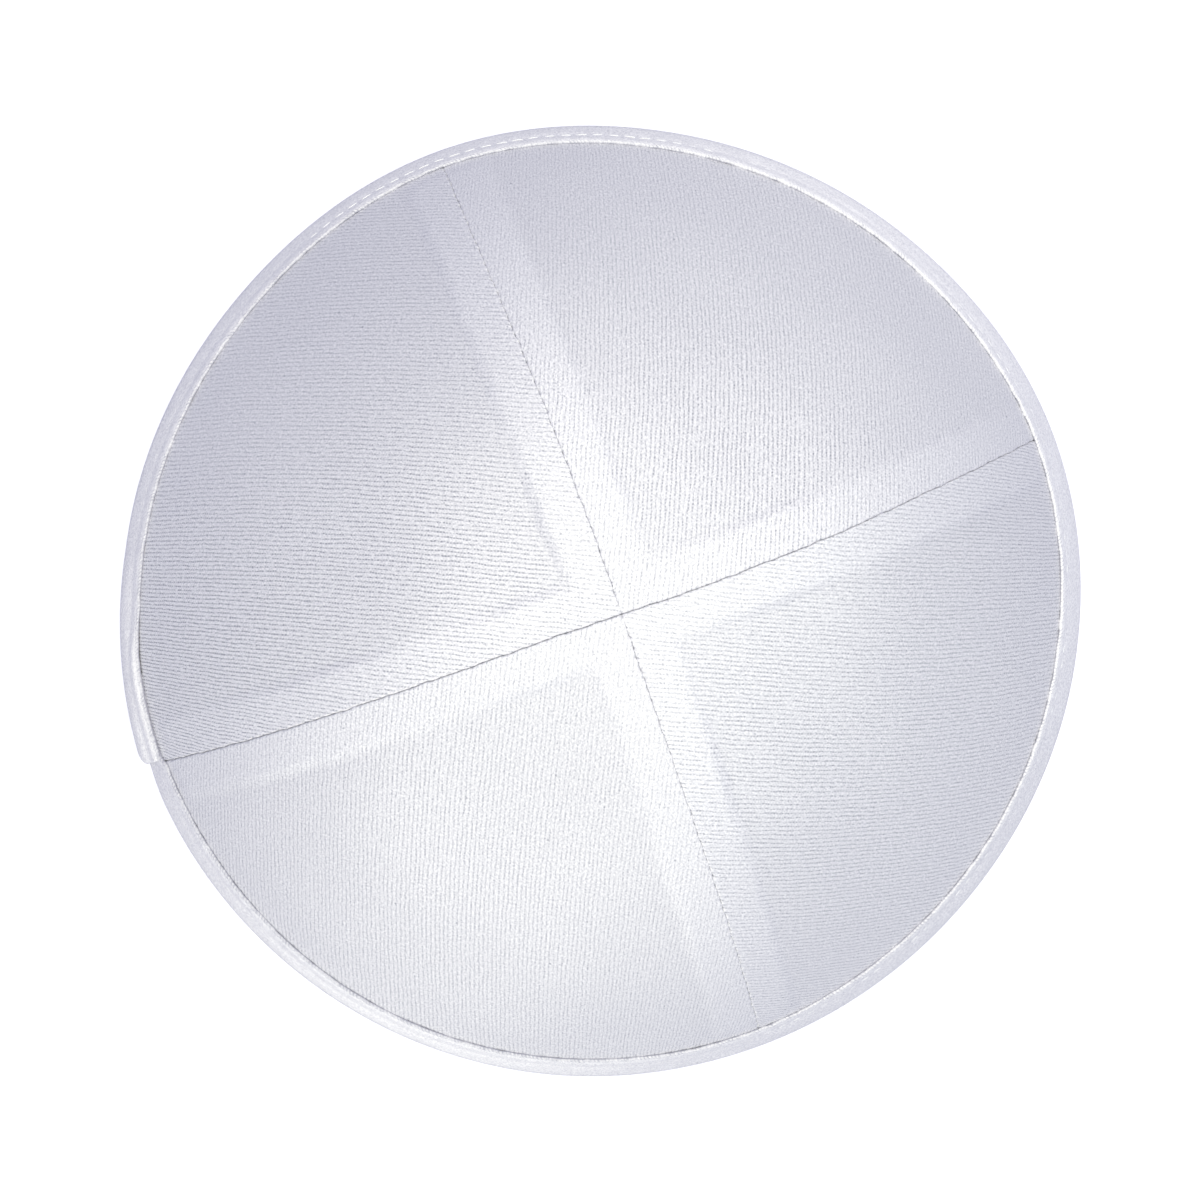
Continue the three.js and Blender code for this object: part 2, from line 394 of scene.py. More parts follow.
def crown(share, turn):
    """Middle of the cloth's thickness, at a share of the way from the apex to the cut edge."""
    seam = (np.searchsorted(SEAM_TURNS, turn % 360, side="right") - 1) % 4
    width = (SEAM_TURNS[(seam + 1) % 4] - SEAM_TURNS[seam]) % 360
    near = abs(2 * ((turn - SEAM_TURNS[seam]) % 360) / width - 1)
    blend = CREASE_SHARE * near**2 + (1 - CREASE_SHARE) * np.sin(near * np.pi / 2) ** 2
    reach = share * edge_reach(turn)
    angle = np.radians(turn)
    fall = share ** (FALL_MIDDLE + (FALL_SEAM - FALL_MIDDLE) * blend)
    x, y = APEX[0] + reach * np.cos(angle), APEX[1] + reach * np.sin(angle)
    return np.stack(np.broadcast_arrays(x, y, EDGE_HEIGHT + CROWN_DROP * (1 - fall)), axis=-1)


def unit(vectors):
    return vectors / np.linalg.norm(vectors, axis=-1, keepdims=True)


def crown_normal(share, turn, nudge=0.004, nudge_turn=0.3):
    """Outward direction of the dome."""
    share = np.maximum(share, 2 * nudge)
    down = crown(share + nudge, turn) - crown(share - nudge, turn)
    around = crown(share, turn + nudge_turn) - crown(share, turn - nudge_turn)
    return unit(np.cross(down, around))


def sideways(turn):
    """Level direction square to a turn, as rows of three."""
    angle = np.radians(turn)
    return np.stack(np.broadcast_arrays(-np.sin(angle), np.cos(angle), 0 * angle), axis=-1)


def above_edge(share, turn):
    """How far up the wall from its cut edge a share stands."""
    slope = np.arctan(CROWN_DROP * FALL_MIDDLE / edge_reach(turn))
    return (1 - share) * edge_reach(turn) / np.cos(slope)


SHARES = np.linspace(0, 1, 1500)
turn_lines = crown(SHARES[None, :], np.append(SEAM_TURNS, 65.0)[:, None])
steps = np.linalg.norm(np.diff(turn_lines, axis=1), axis=2)
ARC = np.concatenate([np.zeros((len(steps), 1)), np.cumsum(steps, axis=1)], axis=1)
print(f"over the crown from edge to edge: {ARC[0, -1] + ARC[2, -1]:.0f} mm")

# %% [markdown]
# What makes the dome look sewn is low relief. The cloth turned in beside each seam is pressed into a band
# that stands a little proud and sinks again under the tape. At the seam itself the two folds roll down
# against each other, which leaves the thin dark line: partly real relief and partly shade painted into the
# cloth's colour. No seam is quite straight: each bows and wanders.
# The seam from left to right was sewn last and stands open a hair. The other two are closer, and show the
# pinch of each stitch instead. Between the seams the cloth is never quite even.
# All of it is one height field, because that is exact and quick, where a cloth simulation of a stiffened cap
# would hardly move it.

# %% Relief of the cloth
ALLOWANCE = 7.5  # width of the cloth turned in beside a seam
BAND_RISE = 0.3
BAND_INSIDE = 0.7
LAST_SEWN = np.array([0.33, 0, 0.35, 0])  # radius of the fold that rolls down into each open seam
SEAM_CLOSED = 0.13  # and into a closed one
PINCHED = np.array([0.16, 0.36, 0.16, 0.36])  # and how much more where a stitch pinches it
SEAM_PIT = np.array([0.03, 0.1, 0.03, 0.1])  # how far a stitch pulls down the cloth round it
SEAM_GAP = np.array([0.045, 0.012, 0.045, 0.012])  # from the middle of a seam to each panel's edge
# how much painted shade each seam has
SEAM_DARK = np.array([0.25, 0.15, 0.38, 0.14])  # how dark each seam is near the apex
SEAM_DARK_RIM = np.array([0.18, 0.05, 0.72, 0.15])  # and at the rim
BOW_AT = (0, 12, 38, 60, 80, 110)  # mm from the apex
SEAM_BOW = (  # mm that each seam runs clockwise of its straight line, at those places
    (0, 0.45, 0.45, -0.12, -0.2, -0.1),
    (0, 0.27, 0.25, -0.02, -0.12, 0),
    (0, 0.25, 0.15, -0.07, -0.18, -0.1),
    (0, 0.12, 0.08, -0.12, -0.15, -0.3),
)
SEAM_STITCH = 1.9
TOP_STITCHES = 182  # round the rim
DENT_DEPTH = 0.22
GATHER_DEPTH = 0.05  # of the ripples that the topstitches press into the crown
APEX_DIP, APEX_DIP_WIDTH = 0.3, 0.45  # where the four corners meet
rng = np.random.default_rng(7)
DENT_LENGTHS = rng.uniform(17, 42, 9)  # mm from one soft dent to the next
DENTS = []
for length in DENT_LENGTHS:
    heading = direction(rng.uniform(0, 360), 0)[:2]
    DENTS.append((heading * 2 * np.pi / length, rng.uniform(0, 6.3)))
WAVER = [(2 * np.pi / length, phase) for length, phase in ((11.3, 0.4), (6.1, 2.0), (3.4, 5.1))]


def waver(along, seam):
    """A slow wander of a line, from -1 to 1, different on each seam."""
    return sum(np.sin(along * rate + phase + 2.1 * seam) for rate, phase in WAVER) / len(WAVER)


def unevenness(x, y):
    """Soft dents in the open cloth, from about -1 to 1."""
    return sum(np.sin(x * w[0] + y * w[1] + phase) for w, phase in DENTS) / 4.5


def rolled_down(distance, radius):
    """Drop of a fold of this radius, this far from where it turns straight down."""
    short = np.clip(radius - distance, 0, radius)
    return radius - np.sqrt(radius**2 - short**2)


def seam_facts(seam, share, turn):
    """Distance to a seam in plan, how far along it, and how hard the nearest stitch pinches."""
    away = abs((turn - SEAM_TURNS[seam] + 180) % 360 - 180)
    distance = share * edge_reach(turn) * np.sin(np.radians(np.minimum(away, 90)))
    along = np.interp(share, SHARES, ARC[seam])
    pinch = (0.5 + 0.5 * np.cos(2 * np.pi * along / SEAM_STITCH + 0.8 * waver(along, seam))) ** 2
    return distance, along, pinch


def seam_wander(seam, along):
    """How far a seam strays anticlockwise: a slow bow, and a quick wander."""
    quick = 0.12 * waver(along, seam) + 0.04 * waver(along * 2.6, seam + 3)
    return -np.interp(along, BOW_AT, SEAM_BOW[seam]), quick * smoothstep(along, 0, 6)


def relief(panel, share, turn):
    """Heights outside and inside, how pressed the cloth is, how much painted shade a seam puts on it, and its
    shift sideways.
    """
    pressed, turned_in, drop, shade_in_seam = 0, 0, 0, 0
    shift = np.zeros((*share.shape, 3))
    over_tape = above_edge(share, turn) - round_table(TAPE_TALL, turn)
    clear = smoothstep(over_tape, 0.4, 1.4)
    risen = smoothstep(over_tape, 0, 3.2)
    for seam in (panel, (panel + 1) % 4):
        distance, along, pinch = seam_facts(seam, share, turn)
        width = ALLOWANCE - 0.35 + 0.3 * waver(along * 0.6, seam + 5)
        pressed = np.maximum(pressed, 1 - smoothstep(distance, width - 1.3, width + 1.3))
        turned_in = np.maximum(turned_in, 1 - smoothstep(distance, ALLOWANCE - 0.25, ALLOWANCE + 0.15))
        shown = np.maximum(LAST_SEWN[seam] > 0, smoothstep(along, 0.3, 4))
        radius = np.maximum(LAST_SEWN[seam], SEAM_CLOSED) * (1 + 0.15 * waver(along * 2, seam))
        radius = shown * (radius + PINCHED[seam] * pinch * (1 + 0.4 * waver(along * 1.7, seam + 2)))
        rolled = rolled_down(distance, np.maximum(radius, 0.02))
        drop = drop + rolled
        # painted shade in the seam, stronger at each stitch's pinch
        dark = SEAM_DARK[seam] + (SEAM_DARK_RIM - SEAM_DARK)[seam] * smoothstep(along, 15, 85)
        shade_in_seam = np.maximum(shade_in_seam, dark * np.clip(rolled / 0.35, 0, 1) * (0.6 + 0.4 * pinch))
        drop = drop + SEAM_PIT[seam] * shown * pinch * np.exp(-distance / 1.1)
        slow, quick = seam_wander(seam, along)
        stray = slow * np.exp(-((distance / 11) ** 2)) + quick * np.exp(-((distance / 4) ** 2))
        shift = shift + stray[..., None] * sideways(SEAM_TURNS[seam])
    middle = crown(share, turn)
    open_cloth = (1 - pressed) * smoothstep(over_tape, 0, 9)
    dents = DENT_DEPTH * unevenness(middle[..., 0], middle[..., 1]) * open_cloth
    gathers = GATHER_DEPTH * np.cos(np.radians(turn) * TOP_STITCHES) * np.exp(-abs(over_tape - 0.5) / 1.3)
    tucked = 0.02 * np.exp(-np.maximum(over_tape + 0.2, 0) / 0.7)
    drop = drop + APEX_DIP * np.exp(-((share * edge_reach(turn) / APEX_DIP_WIDTH) ** 2))
    outside = CLOTH_HALF + BAND_RISE * pressed * risen + dents - drop + gathers - tucked
    inside = CLOTH_HALF + BAND_INSIDE * turned_in * clear - dents
    # how far the cloth is kept from the hollow's painted shade: over a seam allowance, less near the rim
    paler = pressed * (1 - 0.45 * smoothstep(share, 0.7, 0.92))
    return outside, inside, paler, shade_in_seam, shift


# %% [markdown]
# A panel is one closed shell: the outside as a fine grid, the inside as a grid half as fine, and walls that
# zip the two together, three triangles for every two steps of the fine edge. Its columns crowd towards the
# seams by a sinh rule, so that a fold a third of a millimetre wide and the open cloth share one grid.

# %% Closed shell of cloth
ROWS = 288
COLUMNS = 236
FIRST_COLUMN = 0.055  # mm between the first two columns beside a seam


def zip_edges(fine, coarse):
    """Triangles between an edge and a parallel one with half as many steps."""
    a, b, c = fine[:-2:2], fine[1:-1:2], fine[2::2]
    here, there = coarse[:-1], coarse[1:]
    return np.concatenate([np.stack(t, axis=1) for t in ((b, a, here), (b, here, there), (c, b, there))])


def grid_faces(index):
    """Four-sided faces of a grid whose first row is one point, and the triangles round that point."""
    corners = [index[2:, :-1], index[2:, 1:], index[1:-1, 1:], index[1:-1, :-1]]
    quads = np.stack(corners, axis=-1).reshape(-1, 4)
    fan = np.stack([index[1, :-1], index[1, 1:], np.full(index.shape[1] - 1, index[0, 0])], axis=-1)
    return quads, fan


def numbered(grid, first):
    """Point numbers of a grid whose first row counts once."""
    rows, columns = grid.shape[:2]
    inner = first + 1 + np.arange((rows - 1) * columns).reshape(rows - 1, columns)
    return np.vstack([np.full((1, columns), first), inner])


def flat_points(grid):
    return np.concatenate([grid[0, :1], grid[1:].reshape(-1, grid.shape[-1])])


def face_outwards(made):
    """Turns a closed mesh's faces round if its volume comes out negative."""
    solid = bmesh.new()
    solid.from_mesh(made.data)
    inside, triangles = solid.calc_volume(signed=True), len(solid.calc_loop_triangles())
    solid.free()
    if inside < 0:
        made.data.flip_normals()
    print(made.name, "volume", round(abs(inside) / MM**3), "mm3, triangles", triangles)


def keep_facts(mesh, facts):
    """Writes a number or a vector for each point into a mesh, as attributes."""
    for name, values in facts.items():
        kind, field = ("FLOAT_VECTOR", "vector") if values.ndim == 2 else ("FLOAT", "value")
        made = mesh.attributes.new(name, kind, "POINT")
        made.data.foreach_set(field, values.astype(np.float32).ravel())


def mesh_object(name, points, faces, facts, material=None):
    """An object at the origin from points in millimetres."""
    mesh = bpy.data.meshes.new(name)
    mesh.from_pydata((points * MM).tolist(), [], [f for group in faces for f in group.tolist()])
    keep_facts(mesh, facts)
    mesh.shade_smooth()
    if material:
        mesh.materials.append(material)
    return add_object(name, mesh)


def shell(name, outer, inner, outer_facts, inner_facts, material):
    """A closed shell between a fine grid and one half as fine."""
    outer_index = numbered(outer, 0)
    inner_index = numbered(inner, outer_index[-1, -1] + 1)
    points = np.concatenate([flat_points(outer), flat_points(inner)])
    outer_quads, outer_fan = grid_faces(outer_index)
    inner_quads, inner_fan = grid_faces(inner_index)
    walls = [
        zip_edges(outer_index[:, 0], inner_index[:, 0]),
        zip_edges(outer_index[-1], inner_index[-1]),
        zip_edges(outer_index[:, -1], inner_index[:, -1])[:, ::-1],
    ]
    faces = [outer_quads, inner_quads[:, ::-1], outer_fan, inner_fan[:, ::-1], *walls]
    facts = np.concatenate([flat_points(outer_facts), flat_points(inner_facts)])
    labels = {"cloth": facts[:, :3], "ribs_show": facts[:, 3], "in_seam": facts[:, 4]}
    made = mesh_object(name, points, faces, labels, material)
    made.data.set_sharp_from_angle(angle=math.radians(50))
    face_outwards(made)
    return made


# %% [markdown]
# Each point also needs its place on the flat cloth, for the ribs. It is measured as with a tape measure:
# along the dome in the direction of the panel's middle line, and across it square to that.

# %% Place on the flat panel
def dome_height(x, y):
    """Height of the dome's middle over a point in plan."""
    from_apex = np.hypot(x - APEX[0], y - APEX[1])
    turn = np.degrees(np.arctan2(y - APEX[1], x - APEX[0])) % 360
    return crown(from_apex / edge_reach(turn), turn)[..., 2]


def flat_place(points, turn):
    """Millimetres along and across a panel whose middle line lies at a turn, for points on the dome."""
    ahead, aside = direction(turn, 0)[:2], direction(turn + 90, 0)[:2]
    plan = points[..., :2] - APEX
    x, y = plan @ ahead, plan @ aside
    steps = np.linspace(0, 1, 24)

    def measured(length, start, way):
        line = start[..., None, :] + (length[..., None] * steps)[..., None] * way
        height = dome_height(line[..., 0] + APEX[0], line[..., 1] + APEX[1])
        step = abs(length[..., None]) / (len(steps) - 1)
        return np.sign(length) * np.hypot(np.diff(height, axis=-1), step).sum(-1)

    return measured(x, y[..., None] * aside, ahead), measured(y, x[..., None] * ahead, aside)


# %% [markdown]
# One function makes the four panels. Each runs from just beside one seam to just beside the next, and its
# walls there stand parallel to the seam. The ribs' bump and painted shade show most where the light crosses
# them.

# %% Crown panels
# strength of each panel's rib bump and painted gap shade
RIBS_SHOW = {  # beside the first seam, in the middle and beside the last, halfway down and at the rim
    "back_right": ((0.72, 0.72, 0.6), (0.28, 0.38, 0.29)),
    "back_left": ((0.65, 0.95, 0.95), (0.5, 0.4, 1.2)),
    "front_left": ((0.6, 0.5, 0.45), (0.48, 0.53, 0.44)),
    "front_right": ((0.75, 0.78, 0.68), (0.63, 0.62, 0.68)),
}
PANELS = list(RIBS_SHOW)


def rib_strength(panel, share, across):
    """How clearly the ribs stand out, in bump and painted shade, this far down and this far from seam to
    seam.
    """
    halfway, rim = (np.interp(across, (0.15, 0.5, 0.85), values) for values in RIBS_SHOW[PANELS[panel]])
    strength = halfway + (rim - halfway) * smoothstep(share, 0.45, 0.92)
    return strength * (0.75 + 0.25 * smoothstep(share, 0.1, 0.4))


def crowding(width):
    """How strongly the columns crowd towards the seams where a half panel is this wide."""
    strengths = np.linspace(0.001, 9, 900)
    return np.interp(width / (FIRST_COLUMN * COLUMNS / 2), np.sinh(strengths) / strengths, strengths)


def crown_panel(panel):
    start = SEAM_TURNS[panel]
    half = ((SEAM_TURNS[(panel + 1) % 4] - start) % 360) / 2
    middle = start + half
    gaps = SEAM_GAP[[panel, (panel + 1) % 4]]
    tip = gaps.max() / math.sin(math.radians(half)) / edge_reach(np.array(middle))
    share = np.interp((np.arange(ROWS + 1) / ROWS) ** 1.12 * ARC[4, -1], ARC[4], SHARES)
    share = tip + (1 - tip) * share
    place = np.linspace(-1, 1, COLUMNS + 1)

    reach = share * edge_reach(np.array(middle))
    gap = np.where(place < 0, gaps[0], gaps[1])
    least = np.degrees(np.arcsin(np.minimum(1, gap / reach[:, None])))
    least[0] = half
    strength = crowding(reach * math.radians(half))[:, None]
    from_seam = np.sinh(strength * (1 - abs(place))) / np.sinh(strength)
    away = least + (half - least) * from_seam
    turn = np.where(place < 0, start + away, start + 2 * half - away)
    share = np.broadcast_to(share[:, None], turn.shape)

    normal = crown_normal(share, turn)
    for seam in (panel, (panel + 1) % 4):
        square = sideways(SEAM_TURNS[seam])
        kept = 1 - smoothstep(seam_facts(seam, share, turn)[0], SEAM_GAP[seam], 5)
        leaning = (normal @ square)[..., None] * square
        normal = unit(normal - kept[..., None] * leaning)
    outside, inside, pressed, shade_in_seam, shift = relief(panel, share, turn)
    base = crown(share, turn)
    along, across = flat_place(base, middle)
    strength = rib_strength(panel, share, (turn - start) / half / 2) * (1 - 0.2 * pressed)
    facts = np.stack([along + 200 * panel, across, pressed, strength, shade_in_seam], axis=-1)
    outer = base + shift + outside[..., None] * normal
    inner = base + shift - inside[..., None] * normal
    return shell(f"satin_{PANELS[panel]}", outer, inner[::2, ::2], facts, facts[::2, ::2], crown_cloth)


panels = [crown_panel(k) for k in range(4)]

# %% [markdown]
# The tape is folded twice: its raw edges are turned under, and then it is folded over the edge of the crown.
# So its section is one strip that runs up inside a leg, over a fold, down the outside, round under the edge
# and the same again inside. Curve to Mesh carries that section round the rim, and the points are then set
# from attributes: a point of the rail knows which way is out from the wall and up it, and a point of the
# section knows how far to go either way.
# These helpers build such a tree, feed it a line of points and keep its result.

# %% Geometry Nodes helpers
def geometry_tree(name, numbers, others):
    """A tree that takes and gives a geometry, with an input for each number and for each other type."""
    made = bpy.data.node_groups.new(name, "GeometryNodeTree")
    for way in ("INPUT", "OUTPUT"):
        made.interface.new_socket("Geometry", in_out=way, socket_type="NodeSocketGeometry")
    for label, kind in {**dict.fromkeys(numbers, "Float"), **others}.items():
        made.interface.new_socket(label, in_out="INPUT", socket_type="NodeSocket" + kind)
    tree = Tree(made)
    return tree, {link.socket.name: link for link in tree.outputs(tree.node("NodeGroupInput"))}


def close_tree(tree, geometry, material):
    """Every tree ends in real faces with their material on them."""
    real = tree.node("GeometryNodeRealizeInstances", inputs={"Geometry": geometry})
    painted = tree.node("GeometryNodeSetMaterial", inputs={"Geometry": real, "Material": material})
    tree.node("NodeGroupOutput", inputs={"Geometry": painted})


def run_tree(tree, source, name, values):
    """Runs a tree on an object and keeps the result as a plain mesh object of its own."""
    modifier = source.modifiers.new(name, "NODES")
    modifier.node_group = tree.tree
    for item in tree.tree.interface.items_tree:
        if item.in_out == "INPUT" and item.name in values:
            modifier[item.identifier] = values[item.name]
    bpy.context.view_layer.update()
    depsgraph = bpy.context.evaluated_depsgraph_get()
    evaluated = source.evaluated_get(depsgraph)
    mesh = bpy.data.meshes.new_from_object(evaluated, preserve_all_data_layers=True, depsgraph=depsgraph)
    source.modifiers.remove(modifier)
    mesh.name = name
    made = add_object(name, mesh)
    face_outwards(made)
    return made


def line_object(name, points, facts, closed=False):
    """A line of points and edges with facts kept on it, for a tree to read."""
    mesh = bpy.data.meshes.new(name)
    count = len(points)
    edges = [(k, (k + 1) % count) for k in range(count if closed else count - 1)]
    mesh.from_pydata(points.tolist(), edges, [])
    keep_facts(mesh, facts)
    return add_object(name, mesh)


# %% [markdown]
# The rail is the crown's cut edge. The tape's end laps over its beginning at the left seam, so the rail is a
# little longer than once round. Before the lap the tape swells out to ride over what lies under it, and its
# turned-under end is rounded at the outer corner.

# %% Rail round the rim
LAP_FROM, LAP_TO = 174.0, 199.7  # the turns where the tape begins to swell and where it ends
LAP_RISE = 1.3
LAP_HIDDEN_FROM = 189.0  # where the tape begins, under its own end
LAP_THICK = 0.72  # the two folded layers that the end rides over
LAP_LOWER = 0.9  # how far the end is pulled down the wall
LAP_ROUNDED = 2.6  # mm of rounding at the outer corner of the end
UNDER_LOWER = 1.1  # how much lower the tape is where its end covers it
UNDER_LIFT = 0.37  # and how far it stands off the table there
RIM_RADIUS = 84.5
RAIL_STEP = 0.43  # degrees
LEG = 6.0  # how tall one leg of the tape is in the section
END_STEPS = np.array([0.04, 0.1, 0.18, 0.28, 0.42, 0.6])  # degrees, finer towards the folded end


def rim_rail(turns):
    """Where the cut edge is, which way is out and up there, and how the lap swells the tape."""
    edge = crown(np.ones_like(turns), turns)
    above = crown(1 - 6.8 / above_edge(np.zeros_like(turns), turns), turns)
    up = unit(above - edge)
    out = unit(np.cross(sideways(turns), up))
    over = np.clip((turns - 360 - LAP_FROM) / (LAP_TO - LAP_FROM), 0, 1)
    riding = smoothstep(turns - 360, LAP_HIDDEN_FROM - 9, LAP_HIDDEN_FROM + 0.5)
    under = 1 - smoothstep(turns, LAP_TO - 1, LAP_TO + 5)
    covered = 1 - smoothstep(turns, LAP_TO - 0.6, LAP_TO + 0.9)
    ending = smoothstep(turns - 360, LAP_HIDDEN_FROM - 9, LAP_HIDDEN_FROM - 1)
    to_end = np.radians(LAP_TO + 360 - turns) * RIM_RADIUS
    corner = np.sqrt(1 - np.clip(1 - to_end / LAP_ROUNDED, 0, 1) ** 2)
    lowered = UNDER_LOWER * covered + LAP_LOWER * ending + 0.35 * riding * (1 - corner)
    least = LAP_THICK - 0.35
    return edge, {
        "base": edge,
        "outward": out,
        "upward": up,
        "along": np.radians(turns) * RIM_RADIUS,
        "turns": turns,
        "tall": round_table(TAPE_TALL, turns) - lowered,
        "swell": np.maximum(LAP_RISE * over * corner, least * riding) - 0.4 * under,
        "swell_top": LAP_THICK * riding - 0.05 * under,
        "swell_inside": LAP_THICK * riding - 0.1 * under,
        "lift": UNDER_LIFT * under,
        "to_end": to_end,
    }


last_turn = LAP_TO + 360
turns = np.arange(LAP_HIDDEN_FROM, last_turn - END_STEPS[-1], RAIL_STEP)
turns = np.concatenate([turns, last_turn - END_STEPS[::-1], [last_turn]])
edge, rail_facts = rim_rail(turns)
rail = line_object("rail", edge * MM, rail_facts)
print("rail points:", len(turns))

# %% [markdown]
# The section is drawn as the middle of the strip's thickness, leg by leg, and then given its two faces.
# The tape is pressed closer to the wall towards its top, and its top fold rolls in a little.

# %% Section of the folded tape
TAPE_CLOTH = 0.34
TAPE_BEND = 0.185  # radius of a fold between the two layers of a leg
TAPE_SKIN = 1.8  # from the middle of the wall to the tape's outside at its foot
TAPE_PRESS = 0.42  # how much nearer the wall it lies at the fold than at its foot
TAPE_ROLL = 0.16  # and how much its top edge rolls in
FOLD_CENTRE = 0.6  # up the wall to the middle of the fold round the edge
SECTION_FACTS = ("offset", "height", "depth", "core", "core_height")


def half_section():
    """The middle of the strip's thickness in one leg, from its raw edge to the foot of the tape."""
    outer, top = TAPE_SKIN - TAPE_CLOTH / 2, LEG - TAPE_BEND
    hidden = [(outer - 2 * TAPE_BEND, y) for y in (0.9, 3.2, 4.8, top)]
    over = [(outer - TAPE_BEND * (1 + math.cos(a)), top + TAPE_BEND * math.sin(a)) for a in (0.8, 1.57, 2.34)]
    shown = [(outer, y) for y in np.linspace(top, FOLD_CENTRE, 12)]
    round_edge = np.radians([18, 38, 58, 76, 90])
    under = [(outer * math.cos(a), FOLD_CENTRE - outer * math.sin(a)) for a in round_edge]
    return np.array(hidden + over + shown + under)


def tape_section():
    """The strip as a closed outline, with what the tree needs to know about each point."""
    leg = half_section()
    line = np.concatenate([leg, (leg * [-1, 1])[-2::-1]])
    ahead = unit(np.gradient(line, axis=0))
    face = np.stack([-ahead[:, 1], ahead[:, 0]], axis=1)
    edges = np.concatenate([line + face * TAPE_CLOTH / 2, (line - face * TAPE_CLOTH / 2)[::-1]])
    depth = np.repeat([0.0, TAPE_CLOTH], len(line))
    centre = line.copy()
    in_leg = line[:, 1] > FOLD_CENTRE
    centre[in_leg, 0] = np.sign(line[in_leg, 0]) * (TAPE_SKIN - TAPE_CLOTH / 2 - TAPE_BEND)
    centre = np.concatenate([centre, centre[::-1]])
    press = TAPE_PRESS * np.clip(edges[:, 1] / 5.2, 0, 1) + TAPE_ROLL * smoothstep(edges[:, 1], 4.9, 6.1)
    press = press * np.sign(edges[:, 0])
    values = (edges[:, 0] - press, edges[:, 1], depth, centre[:, 0] - press, centre[:, 1])
    return dict(zip(SECTION_FACTS, values))


section_facts = tape_section()
outline = np.stack([section_facts["offset"], section_facts["height"], 0 * section_facts["depth"]], axis=1)
section = line_object("section", outline * MM, section_facts, closed=True)
print("section points:", len(outline))

# %% [markdown]
# Stitches pull the tape in along a line near the top of each leg, deepest at the holes, and small ripples run
# from them. A slow noise makes the rest a little uneven, and a quicker one creases the top fold.
# The foot of the tape is flattened where it rests on the table, and at the lap it stands on the tape beneath.

# %% Carry the section round
STITCH_BELOW = 1.6  # from the fold down to the line of stitches
STITCH_TURN = 360 / TOP_STITCHES


def folded_tape():
    numbers = ("Leg", "Stitch turn", "Stitch below", "Pull", "Ripple", "Unevenness", "Creases")
    t, given = geometry_tree("folded_tape", numbers, {"Section": "Object", "Material": "Material"})
    path = t.node("GeometryNodeMeshToCurve", inputs={"Mesh": given["Geometry"]})
    shape = t.node("GeometryNodeObjectInfo", inputs={"Object": given["Section"]}, output="Geometry")
    profile = t.node("GeometryNodeMeshToCurve", inputs={"Mesh": shape})
    sweep = {"Curve": path, "Profile Curve": profile, "Fill Caps": True}
    swept = t.node("GeometryNodeCurveToMesh", inputs=sweep)

    offset, height, depth, core, core_height = map(t.named, SECTION_FACTS)
    along, to_end, turns = map(t.named, ("along", "to_end", "turns"))
    squeeze = (1 - (1 - to_end / 0.4).maths("MAXIMUM", 0.0) ** 2.0).maths("SQRT")
    offset = core + (offset - core) * squeeze
    height = core_height + (height - core_height) * squeeze

    outside = offset.smooth(-0.3, 0.3)
    up_leg, at_top = height.smooth(1.5, 4.2), height.smooth(5.0, 5.9)
    swell, swell_top = t.named("swell"), t.named("swell_top")
    swell = (swell + (swell_top - swell) * up_leg) * (1 - at_top * 0.6)
    swell_inside = t.named("swell_inside") * (1 - at_top * 0.6)
    swell = swell * outside - swell_inside * (1 - outside)
    stretch = (t.named("tall") - FOLD_CENTRE) / (given["Leg"] - FOLD_CENTRE)
    height = height + (height - FOLD_CENTRE).maths("MAXIMUM", 0.0) * (stretch - 1)

    cycle = (turns * (2 * math.pi) / given["Stitch turn"]).maths("COSINE")
    from_line = (t.named("tall") - given["Stitch below"] - height).maths("ABSOLUTE")
    pulled = (cycle * 0.5 + 0.75) * given["Pull"] * from_line.smooth(0.75, 0.0)
    rippled = cycle * given["Ripple"] * from_line.smooth(2.4, 0.2)
    uneven = t.noise(t.join(along * 0.13, height * 0.3), detail=2.0) - 0.5
    uneven = uneven * given["Unevenness"] * height.smooth(0.2, 2.0)
    creased = t.noise(t.join(along * 0.55, height * 0.5, 4.0), detail=2.0, roughness=0.6) - 0.5
    creased = creased * given["Creases"] * at_top
    relief = (rippled - pulled + uneven + creased) * (outside * 2 - 1)

    base, outward, upward = (t.named(name, "FLOAT_VECTOR") for name in ("base", "outward", "upward"))
    x, y, z = t.split(base + outward * (offset + swell + relief) + upward * height)
    z = z.maths("MAXIMUM", t.named("lift") + depth)
    placed = t.node("GeometryNodeSetPosition", inputs={"Geometry": swept, "Position": t.join(x, y, z) * MM})
    smooth = t.node("GeometryNodeSetShadeSmooth", inputs={"Geometry": placed})
    close_tree(t, smooth, given["Material"])
    return t


tape_values = {"Section": section, "Leg": LEG, "Stitch turn": STITCH_TURN, "Stitch below": STITCH_BELOW,
               "Pull": 0.12, "Ripple": 0.05, "Unevenness": 0.3, "Creases": 0.6, "Material": tape_cloth}
tape = run_tree(folded_tape(), rail, "satin_tape", tape_values)
tape.data.set_sharp_from_angle(angle=math.radians(60))

# %% [markdown]
# One stitch is a short arched length of thread whose two ends dive into their holes. It is made once, and
# Geometry Nodes lay it down at every stitch of a line: along the line, upright on the cloth, and each a
# little different in length and direction, from a fixed seed.

